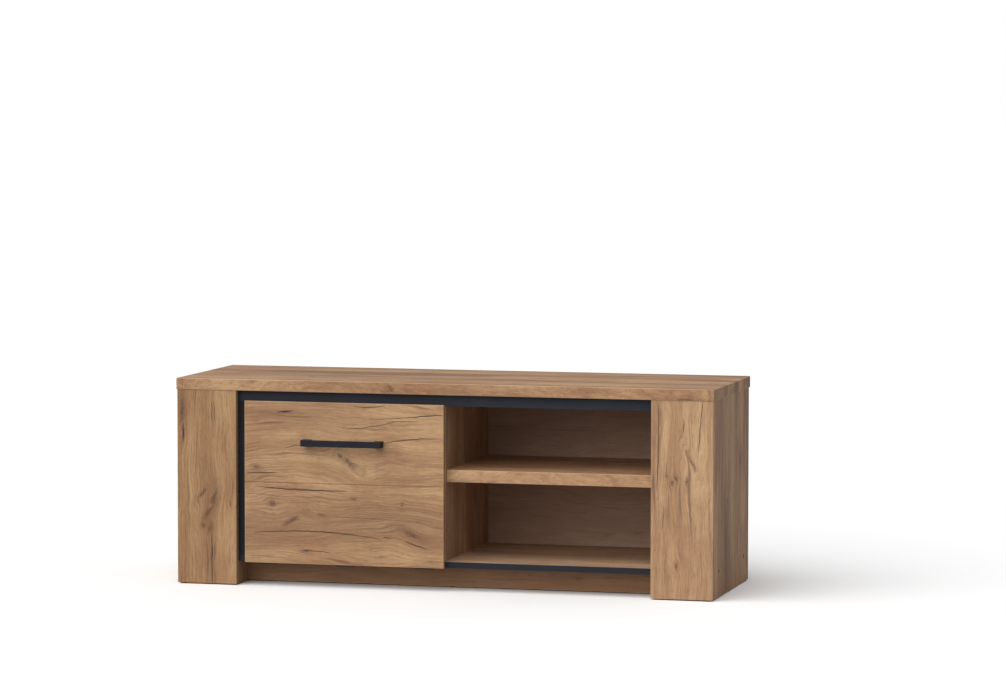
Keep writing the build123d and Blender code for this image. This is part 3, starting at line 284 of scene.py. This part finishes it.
def crack_shape(along, across, crack, wander):
    """1 inside a thin crack that tapers to both ends. A crack is its two ends, its width and its bow."""
    a0, c0, a1, c1, width, bow = crack
    part = ((along - a0) / (a1 - a0)).math("MAXIMUM", 0.0).math("MINIMUM", 1.0)
    belly = part * part.minus_from(1.0) * 4.0
    line = part * (c1 - c0) + c0 + belly * bow + wander
    half_width = belly.math("POWER", 0.6) * width + CRACK_LEAST_HALF_WIDTH
    return ((across - line).size() / half_width).ramp(1.25, 0.45) * belly.ramp(0.0, 0.12)


def random_knots(node_name, axes, seed, count):
    """A few small knots somewhere on a board that has no noted ones."""
    dice = random.Random(seed)
    low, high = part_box(node_name)
    a, c = "XYZ".index(axes[0]), "XYZ".index(axes[1])
    spots = []
    for _ in range(count):
        half_across = dice.uniform(*KNOT_HALF_ACROSS)
        place_along = dice.uniform(low[a], high[a])
        place_across = dice.uniform(low[c], high[c])
        half_along = half_across * dice.uniform(*KNOT_STRETCH)
        lean = dice.uniform(*KNOT_LEAN)
        spots.append((place_along, place_across, half_along, half_across, lean))
    return spots


def random_cracks(node_name, axes, seed, count):
    """A few fine cracks along the grain somewhere on a board."""
    dice = random.Random(seed + CRACK_SEED)
    low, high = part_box(node_name)
    a, c = "XYZ".index(axes[0]), "XYZ".index(axes[1])
    lines = []
    for _ in range(count):
        start = dice.uniform(low[a] - CRACK_OVERHANG, high[a] - CRACK_OVERHANG)
        length = dice.uniform(*CRACK_LENGTH)
        height = dice.uniform(low[c], high[c])
        drift = length * dice.uniform(*CRACK_SLOPE)
        width = dice.uniform(*CRACK_WIDTH)
        bow = dice.uniform(*CRACK_BOW)
        lines.append((start, height, start + length, height + drift, width, bow))
    return lines


def strongest(fields):
    """The largest of several fields at each point."""
    top = fields[0]
    for field in fields[1:]:
        top = top.math("MAXIMUM", field)
    return top


def grain_noises(tree, table, along, across, through, shift):
    """Every noise of a table, as fields by name."""
    fields = {}
    for name, (run, width, depth, shift_along, shift_across, detail, roughness) in table.items():
        fields[name] = noise(
            tree,
            along * run + shift_along * shift,
            across * width + shift_across * shift,
            through * depth,
            detail=detail,
            roughness=roughness,
        )
    return fields


def bent_grain(tree, along, across, field, shift, knots, swirl):
    """Which line of the grain runs through a point, and the shape of each knot. The grain drifts slowly
    across the board and parts round each knot."""
    flow = across + (field["drift"] - 0.5) * (GRAIN_DRIFT * swirl) + (field["ripple"] - 0.5) * GRAIN_RIPPLE
    torn = noise(tree, along * TEAR_WAVES[0], across * TEAR_WAVES[1], shift, detail=4.0, roughness=0.65)
    ragged = (torn - 0.5) * KNOT_TEAR
    shapes = [knot_shape(along, across, knot, ragged) for knot in knots]
    for knot, shape in zip(knots, shapes):
        pull = (shape * shape * PARTING_FADE).math("EXPONENT")
        flow = flow - (across - knot[1]) * pull * PARTING
    return flow, shapes


def grain_colour(tree, field, banding):
    """The light ground with its bands and every coat over it."""
    colour = mix(tree, field["bands"].ramp(*BAND_RAMP), OAK_LIGHT, OAK_MID)
    colour = mix(tree, field["broad"].ramp(*BROAD_RAMP) * banding, colour, OAK_STREAK)
    for name, begins, full, strength, paint in COATS:
        coat = field[name].ramp(begins, full) * strength
        if name == "rings":
            coat = coat * field["ring_patch"].ramp(*RING_PATCH_RAMP)
        colour = mix(tree, coat, colour, paint)
    return colour


def knot_colour(tree, colour, shapes, streaks, flecks):
    """Darken the halo of each knot along its streaks, and its heart in flecks."""
    halo = strongest([shape.ramp(*HALO) for shape in shapes])
    heart = strongest([shape.ramp(*HEART) for shape in shapes])
    colour = mix(tree, halo * (streaks.ramp(0.36, 0.6) * 0.4 + 0.14), colour, OAK_STREAK)
    colour = mix(tree, heart * (flecks.ramp(0.36, 0.56) * 0.6 + 0.22), colour, OAK_KNOT)
    return mix(tree, heart * flecks.ramp(0.55, 0.66) * 0.4, colour, OAK_CRACK)


def all_cracks(tree, along, across, shift, cracks):
    """1 inside any crack of a board."""
    meander = noise(tree, along * WANDER_WAVES + shift, 0.0, 0.0, detail=4.0, roughness=0.6)
    wander = (meander - 0.5) * CRACK_WANDER
    return strongest([crack_shape(along, across, crack, wander) for crack in cracks])


def oak(
    node_name,
    axes,
    seed,
    knots,
    cracks,
    swirl=0.8,
    shade=1.0,
    saturation=1.0,
    banding=0.4,
    calm=0.0,
    gloss=0.35,
):
    """The oak decor of one board, with a painted highlight along its edges. Swirl bends its grain, shade and
    saturation grade its colour, and a low shade on a board that lies in shadow is painted shade; banding is
    the strength of the widest bands, calm evens it out and gloss is its specular level."""
    material, tree, shader = surface(f"oak_{node_name}")
    spot = places(tree)
    along, across, through = (spot[axis] for axis in axes)
    shift = seed * SEED_SHIFT
    field = grain_noises(tree, STANDING, along, across, through, shift)
    flow, shapes = bent_grain(tree, along, across, field, shift, knots, swirl)
    field.update(grain_noises(tree, FLOWING, along, flow, through, shift))
    pushed = flow * RING_TURNS + field["bands"] * RING_BAND_PUSH + field["mottle"] * RING_MOTTLE_PUSH
    field["rings"] = pushed.math("SINE")

    crack = all_cracks(tree, along, across, shift, cracks)
    colour = grain_colour(tree, field, banding)
    colour = knot_colour(tree, colour, shapes, field["streaks"], field["flecks"])
    colour = mix(tree, crack * CRACK_STRENGTH, colour, OAK_CRACK)
    colour = mix(tree, calm, colour, OAK_WARM)
    # Painted highlight along the rounded edges of the board.
    colour = mix(tree, arris_highlight(spot, node_name) * ARRIS_HIGHLIGHT_STRENGTH, colour, OAK_ARRIS_HIGHLIGHT)
    feed(tree, shader.inputs["Base Color"], graded(tree, colour, shade, saturation))

    pores = field["pores"]
    roughened = pores.ramp(0.5, 0.7) * PORE_ROUGHNESS + field["streaks"] * STREAK_ROUGHNESS
    feed(tree, shader.inputs["Roughness"], roughened + OAK_ROUGHNESS)
    shader.inputs["Specular IOR Level"].default_value = gloss
    height = pores.ramp(0.72, 0.56) * PORE_SHARE - field["fibres"] * FIBRE_SHARE - crack * CRACK_SHARE
    bump(tree, shader, height, OAK_RELIEF)
    return material


# ---------------------------------------------------------------- the other finishes
# Ramps that draw soft and crisp patterns out of a noise.
SOFT = (0.3, 0.7)
CRISP = (0.35, 0.65)

# Waves per metre along X, Y and Z.
CLOUD_WAVES = (14.0, 14.0, 14.0)
SCUFF_WAVES = (60.0, 60.0, 240.0)
SPANGLE_WAVES = (260.0, 260.0, 260.0)
ROLLED_ALONG = 60.0
ROLLED_ACROSS = 1800.0
TRIM_GRAIN_WAVES = (700.0, 700.0, 700.0)
TRIM_CLOUD_WAVES = (6.0, 20.0, 20.0)

TRIM_DARK = tone(26, 28, 35)
TRIM_LIGHT = tone(39, 42, 51)
# Colour of the painted highlight along the trim's edges.
TRIM_ARRIS_HIGHLIGHT = tone(60, 66, 76)
MATTE = 0.2

# Depth of the fine relief, in metres.
SPECKLED_RELIEF = 0.00004
BRUSHED_RELIEF = 0.00002
TRIM_RELIEF = 0.00008


def speckled(name, light, dark, roughness, metallic=0.0, grit=900.0, specular=0.5):
    """A plain finish with a fine grain, slow clouds of tone and small scuffs."""
    material, tree, shader = surface(name)
    spot = places(tree)
    grain = speckle(tree, spot, (grit, grit, grit))
    clouds = speckle(tree, spot, CLOUD_WAVES, detail=3.0)
    scuffs = speckle(tree, spot, SCUFF_WAVES, detail=4.0, roughness=0.7)
    colour = mix(tree, clouds.ramp(*SOFT) * 0.6 + grain.ramp(*CRISP) * 0.4, dark, light)
    feed(tree, shader.inputs["Base Color"], colour)
    feed(tree, shader.inputs["Roughness"], scuffs.ramp(*SOFT) * 0.14 + grain * 0.1 + (roughness - 0.12))
    shader.inputs["Metallic"].default_value = metallic
    shader.inputs["Specular IOR Level"].default_value = specular
    bump(tree, shader, grain, SPECKLED_RELIEF)
    return material


def brushed(name, light, dark, roughness, lay):
    """Zinc-plated steel with fine rolling lines along one axis."""
    material, tree, shader = surface(name)
    spot = places(tree)
    rolled_waves = [ROLLED_ALONG if axis == lay else ROLLED_ACROSS for axis in "XYZ"]
    rolled = speckle(tree, spot, rolled_waves, detail=3.0, roughness=0.6)
    spangle = speckle(tree, spot, SPANGLE_WAVES, detail=1.0)
    colour = mix(tree, rolled.ramp(*SOFT) * 0.6 + spangle.ramp(*CRISP) * 0.4, dark, light)
    feed(tree, shader.inputs["Base Color"], colour)
    feed(tree, shader.inputs["Roughness"], rolled * 0.2 + (roughness - 0.1))
    shader.inputs["Metallic"].default_value = 1.0
    bump(tree, shader, rolled, BRUSHED_RELIEF)
    return material


def trim_board(node_name, shade):
    """Board faced in matte anthracite with a faint blue cast and a fine pressed texture, a painted highlight
    along its edges, and a shade that paints it lighter or darker for how light falls on it.
    """
    material, tree, shader = surface(f"trim_{node_name}")
    spot = places(tree)
    grain = speckle(tree, spot, TRIM_GRAIN_WAVES, detail=3.0, roughness=0.6)
    clouds = speckle(tree, spot, TRIM_CLOUD_WAVES)
    lightness = grain.ramp(*CRISP) * 0.5 + clouds.ramp(*SOFT) * 0.5
    colour = mix(tree, lightness, TRIM_DARK, TRIM_LIGHT)
    # Painted highlight along the board's edges.
    colour = mix(tree, arris_highlight(spot, node_name) * 0.5, colour, TRIM_ARRIS_HIGHLIGHT)
    feed(tree, shader.inputs["Base Color"], graded(tree, colour, shade))
    feed(tree, shader.inputs["Roughness"], grain * 0.2 + clouds * 0.1 + 0.42)
    shader.inputs["Specular IOR Level"].default_value = MATTE
    bump(tree, shader, grain, TRIM_RELIEF)
    return material


def wear(node_name, material):
    """Give a CAD node one material on all its faces."""
    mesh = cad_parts[node_name].data
    mesh.materials.clear()
    mesh.materials.append(material)


# Knots: place along and across the grain, half sizes, lean. Cracks: both ends, width, bow.
DOOR_KNOTS = [
    (-0.428, 0.466, 0.016, 0.004, 0.12),
    (-0.276, 0.353, 0.009, 0.007, -0.3),
    (-0.250, 0.334, 0.020, 0.010, -0.75),
    (-0.508, 0.318, 0.009, 0.005, 0.0),
    (-0.464, 0.223, 0.010, 0.007, -0.3),
    (-0.106, 0.227, 0.004, 0.006, 0.3),
    (-0.410, 0.178, 0.018, 0.006, 0.6),
    (-0.370, 0.098, 0.011, 0.005, -0.1),
    (-0.080, 0.150, 0.024, 0.008, -0.4),
    (-0.325, 0.195, 0.010, 0.003, -0.05),
    (-0.238, 0.238, 0.008, 0.003, 0.0),
]
DOOR_CRACKS = [
    (-0.450, 0.463, -0.404, 0.469, 0.0020, 0.0015),
    (-0.536, 0.302, -0.448, 0.305, 0.0018, -0.001),
    (-0.508, 0.266, -0.250, 0.260, 0.0022, -0.003),
    (-0.155, 0.390, -0.010, 0.405, 0.0016, 0.003),
    (-0.240, 0.486, -0.150, 0.490, 0.0016, -0.005),
    (-0.520, 0.142, -0.160, 0.134, 0.0017, 0.012),
    (-0.100, 0.134, -0.038, 0.113, 0.0018, -0.002),
    (-0.158, 0.141, -0.137, 0.138, 0.0014, 0.000),
    (-0.080, 0.458, 0.006, 0.467, 0.0014, 0.001),
    (-0.430, 0.370, -0.380, 0.378, 0.0010, 0.002),
    (-0.536, 0.246, -0.440, 0.240, 0.0007, 0.002),
    (-0.300, 0.190, -0.020, 0.178, 0.0006, 0.004),
    (-0.200, 0.452, -0.010, 0.470, 0.0009, -0.004),
    (-0.260, 0.424, -0.120, 0.448, 0.0010, -0.004),
    (-0.150, 0.444, -0.060, 0.448, 0.0009, 0.002),
    (-0.390, 0.098, -0.300, 0.094, 0.0012, 0.002),
]
LEFT_PILASTER_KNOTS = [
    (0.402, -0.712, 0.020, 0.004, 0.00),
    (0.244, -0.658, 0.013, 0.005, 0.70),
    (0.232, -0.626, 0.022, 0.006, 0.20),
    (0.196, -0.640, 0.014, 0.005, 0.60),
    (0.158, -0.655, 0.006, 0.005, 0.00),
    (0.149, -0.638, 0.008, 0.004, 0.20),
    (0.465, -0.714, 0.040, 0.006, 0.02),
]
LEFT_PILASTER_CRACKS = [
    (0.490, -0.632, 0.430, -0.632, 0.0012, 0.001),
    (0.492, -0.624, 0.434, -0.623, 0.0008, 0.000),
    (0.140, -0.636, 0.070, -0.631, 0.0012, 0.002),
    (0.105, -0.633, 0.000, -0.631, 0.0017, 0.000),
    (0.115, -0.624, 0.060, -0.626, 0.0010, 0.001),
    (0.228, -0.582, 0.210, -0.579, 0.0010, 0.000),
    (0.432, -0.711, 0.380, -0.712, 0.0020, 0.000),
]
RIGHT_PILASTER_KNOTS = [
    (0.306, 0.621, 0.009, 0.005, 0.10),
    (0.319, 0.630, 0.007, 0.004, -0.20),
    (0.322, 0.605, 0.006, 0.003, 0.00),
    (0.359, 0.672, 0.020, 0.004, -0.52),
    (0.310, 0.659, 0.014, 0.004, 0.10),
    (0.090, 0.632, 0.008, 0.004, 0.00),
]
RIGHT_PILASTER_CRACKS = [
    (0.516, 0.582, 0.278, 0.579, 0.0015, 0.003),
    (0.517, 0.700, 0.383, 0.690, 0.0014, -0.001),
    (0.473, 0.650, 0.437, 0.649, 0.0013, 0.001),
    (0.247, 0.599, 0.180, 0.593, 0.0009, 0.001),
    (0.360, 0.604, 0.320, 0.603, 0.0008, 0.001),
]
OUTER_SIDE_KNOTS = [
    (0.385, 0.095, 0.010, 0.004, 0.05),
    (0.339, 0.132, 0.020, 0.008, 0.00),
    (0.243, -0.035, 0.014, 0.006, 0.00),
    (0.130, -0.047, 0.080, 0.010, 0.02),
]

# Board, grain, seed, knots, cracks, and where its looks differ from the usual ones.
NOTED_BOARDS = (
    (
        "door_panel",
        GRAIN_LEVEL,
        1,
        DOOR_KNOTS,
        DOOR_CRACKS,
        {"swirl": 1.0, "shade": 0.93, "saturation": 1.03},
    ),
    (
        "left_pilaster_front",
        GRAIN_UPRIGHT,
        2,
        LEFT_PILASTER_KNOTS,
        LEFT_PILASTER_CRACKS,
        {"swirl": 0.5, "shade": 0.83, "saturation": 1.07},
    ),
    (
        "right_pilaster_front",
        GRAIN_UPRIGHT,
        3,
        RIGHT_PILASTER_KNOTS,
        RIGHT_PILASTER_CRACKS,
        {"swirl": 0.6, "shade": 1.02},
    ),
)
for board, axes, seed, knots, cracks, looks in NOTED_BOARDS:
    wear(board, oak(board, axes, seed, knots, cracks, **looks))

# Board, grain, number of knots and of cracks, and where its looks differ from the usual ones.
PLAIN_BOARDS = (
    ("top_panel", GRAIN_LEVEL_FLAT, 9, 14, {"shade": 0.95, "banding": 0.8, "gloss": 0.2}),
    ("left_outer_side", GRAIN_UPRIGHT_SIDE, 4, 7, {"banding": 0.8}),
    ("right_outer_side", GRAIN_UPRIGHT_SIDE, 3, 6, {"saturation": 1.05, "banding": 0.9}),
    ("left_inner_side", GRAIN_UPRIGHT_SIDE, 3, 5, {}),
    ("right_inner_side", GRAIN_UPRIGHT_SIDE, 3, 5, {}),
    # The left base side's low shade is painted shade, for the shadow it lies in.
    ("left_base_side", GRAIN_UPRIGHT_SIDE, 1, 2, {"shade": 0.8, "saturation": 1.05}),
    ("right_base_side", GRAIN_UPRIGHT_SIDE, 1, 2, {}),
    ("divider", GRAIN_UPRIGHT_SIDE, 3, 5, {"saturation": 0.95}),
    ("bottom_panel", GRAIN_LEVEL_FLAT, 5, 8, {"shade": 1.04, "saturation": 0.88}),
    ("middle_shelf", GRAIN_LEVEL_FLAT, 3, 6, {"shade": 1.07}),
    # The front plinth's low shade is painted shade: it sits back under the bottom panel, in the cabinet's
    # shadow.
    ("front_plinth", GRAIN_LEVEL, 2, 4, {"shade": 0.82, "saturation": 1.05, "calm": 0.45}),
    ("rear_plinth", GRAIN_LEVEL, 2, 4, {}),
    ("centre_support", GRAIN_LEVEL, 1, 1, {}),
    ("back_panel_left", GRAIN_LEVEL, 5, 8, {"saturation": 0.82, "calm": 0.55}),
    ("back_panel_right", GRAIN_LEVEL, 5, 8, {"saturation": 0.82, "calm": 0.55}),
)
FIRST_PLAIN_SEED = 11
for seed, (board, axes, knot_count, crack_count, looks) in enumerate(PLAIN_BOARDS, FIRST_PLAIN_SEED):
    if board == "right_outer_side":
        knots = OUTER_SIDE_KNOTS
    else:
        knots = random_knots(board, axes, seed, knot_count)
    cracks = random_cracks(board, axes, seed, crack_count)
    wear(board, oak(board, axes, seed, knots, cracks, **looks))

# Board and shade; the shades are painted light and shade: the top rail lighter and the filler strip, in
# shadow beside the door, darker.
TRIM_BOARDS = (("top_rail", 1.3), ("filler_strip", 0.55), ("bottom_edge_band", 1.0))
for board, shade in TRIM_BOARDS:
    wear(board, trim_board(board, shade))

BLACK_METAL = speckled(
    "black_powder_coat", tone(30, 33, 42), tone(19, 22, 29), 0.55, grit=1600.0, specular=MATTE
)
BRONZED_STEEL = speckled("bronzed_steel", tone(72, 56, 46), tone(52, 40, 34), 0.5)
STEEL = brushed("zinc_plated_steel", tone(206, 208, 206), tone(160, 163, 163), 0.34, "X")
SCREW_STEEL = brushed("zinc_plated_screw_steel", tone(212, 210, 200), tone(150, 150, 145), 0.3, "Z")
CAST_ZINC = speckled("cast_zinc", tone(176, 178, 180), tone(140, 143, 147), 0.45, metallic=1.0)
BEECH = speckled("beech", tone(214, 178, 134), tone(188, 148, 106), 0.6, grit=500.0)
BROWN_PLASTIC = speckled("brown_plastic", tone(122, 94, 70), tone(98, 74, 55), 0.42)
BLACK_PLASTIC = speckled("black_plastic", tone(40, 40, 42), tone(26, 26, 28), 0.5)
WHITE_PLASTIC = speckled("white_plastic", tone(232, 232, 228), tone(214, 214, 208), 0.4)
FERRITE = speckled("ferrite", tone(62, 62, 65), tone(40, 40, 44), 0.65)
CLEAR_RUBBER = speckled("clear_rubber", tone(226, 226, 218), tone(204, 204, 196), 0.35)
FINISHES = (
    (BLACK_METAL, ("door_handle",)),
    (
        BRONZED_STEEL,
        (
            "hinge_cabinet_leaves",
            "hinge_door_leaves",
            "hinge_pins",
            "hinge_cabinet_screws",
            "hinge_door_screws",
        ),
    ),
    (
        STEEL,
        (
            "strike_plate",
            "catch_poles",
            "stay_wall_bracket",
            "stay_door_bracket",
            "stay_upper_link",
            "stay_lower_link",
            "stay_wall_pivot",
            "stay_elbow_pivot",
            "stay_door_pivot",
        ),
    ),
    (
        SCREW_STEEL,
        (
            "confirmat_screws",
            "divider_screws",
            "rail_screws",
            "filler_screws",
            "handle_screws",
            "catch_screws",
            "strike_screws",
            "stay_wall_screws",
            "stay_door_screws",
            "back_nails",
            "cam_bolts",
            "shelf_pins",
        ),
    ),
    (CAST_ZINC, ("cam_locks",)),
    (BEECH, ("wood_dowels",)),
    (BROWN_PLASTIC, ("screw_caps", "back_joint_strip")),
    (BLACK_PLASTIC, ("floor_glides", "corner_blocks")),
    (WHITE_PLASTIC, ("catch_body",)),
    (FERRITE, ("catch_magnet",)),
    (CLEAR_RUBBER, ("door_bumpers",)),
)
for material, names in FINISHES:
    for name in names:
        wear(name, material)

# ---------------------------------------------------------------- floor
WORLD_LIGHT = 0.45
WORLD_SEEN = 1.0
FLOOR_BOUNCE = 0.45
FLOOR_SEEN = 0.97
FLOOR_SIZE = 60.0


def seen_or_bounced(tree, seen, bounced):
    """One brightness for what the camera sees and a lower one for the light that reaches the cabinet."""
    path = tree.nodes.new("ShaderNodeLightPath")
    return Field(tree, path.outputs["Is Camera Ray"]) * (seen - bounced) + bounced


floor_mesh = bpy.data.meshes.new("floor")
corners = [(x * FLOOR_SIZE, y * FLOOR_SIZE, 0) for x, y in ((-1, -1), (1, -1), (1, 1), (-1, 1))]
floor_mesh.from_pydata(corners, [], [(0, 1, 2, 3)])
floor = bpy.data.objects.new("floor", floor_mesh)
bpy.context.scene.collection.objects.link(floor)
floor_paint, floor_tree, floor_shader = surface("floor")
floor_white = seen_or_bounced(floor_tree, FLOOR_SEEN, FLOOR_BOUNCE)
feed(floor_tree, floor_shader.inputs["Base Color"], floor_white)
floor_shader.inputs["Roughness"].default_value = 1.0
floor_shader.inputs["Specular IOR Level"].default_value = 0.0
floor_mesh.materials.append(floor_paint)

# ---------------------------------------------------------------- light
world = bpy.data.worlds.new("studio")
bpy.context.scene.world = world
world.use_nodes = True
background = world.node_tree.nodes["Background"]
background.inputs["Color"].default_value = (1.0, 1.0, 1.0, 1.0)
world_strength = seen_or_bounced(world.node_tree, WORLD_SEEN, WORLD_LIGHT)
feed(world.node_tree, background.inputs["Strength"], world_strength)

# The key light comes over the camera's left shoulder, from a very wide lamp.
KEY_ENERGY = 2.9
KEY_ANGLE = 80.0
KEY_DIRECTION = Vector((0.35, 0.65, -0.67))
key = bpy.data.lights.new("key_light", "SUN")
key.energy = KEY_ENERGY
key.angle = math.radians(KEY_ANGLE)
key_holder = bpy.data.objects.new("key_light", key)
key_holder.rotation_mode = "QUATERNION"
key_holder.rotation_quaternion = KEY_DIRECTION.to_track_quat("-Z", "Y")
bpy.context.scene.collection.objects.link(key_holder)

# ---------------------------------------------------------------- camera
# Place in metres, angles in radians (turned to its left, tipped down and rolled), lens in millimetres.
CAMERA_PLACE = Vector((2.94915, -10.8945, 1.44837))
CAMERA_TURN = 0.254895
CAMERA_DIP = 0.072987
CAMERA_ROLL = 0.001348
CAMERA_LENS = 151.88
SENSOR_WIDTH = 36.0
FARTHEST_SEEN = 200.0
forward = Vector(
    (
        -math.sin(CAMERA_TURN) * math.cos(CAMERA_DIP),
        math.cos(CAMERA_TURN) * math.cos(CAMERA_DIP),
        -math.sin(CAMERA_DIP),
    )
)
level = Vector((math.cos(CAMERA_TURN), math.sin(CAMERA_TURN), 0.0))
upward = level.cross(forward)
right = level * math.cos(CAMERA_ROLL) + upward * math.sin(CAMERA_ROLL)
up = upward * math.cos(CAMERA_ROLL) - level * math.sin(CAMERA_ROLL)
camera_data = bpy.data.cameras.new("camera")
camera_data.lens = CAMERA_LENS
camera_data.sensor_width = SENSOR_WIDTH
camera_data.clip_end = FARTHEST_SEEN
camera = bpy.data.objects.new("camera", camera_data)
camera.rotation_mode = "QUATERNION"
camera.rotation_quaternion = Matrix((right, up, -forward)).transposed().to_quaternion()
camera.location = CAMERA_PLACE
bpy.context.scene.collection.objects.link(camera)
bpy.context.scene.camera = camera
bpy.context.scene.view_settings.view_transform = "Standard"
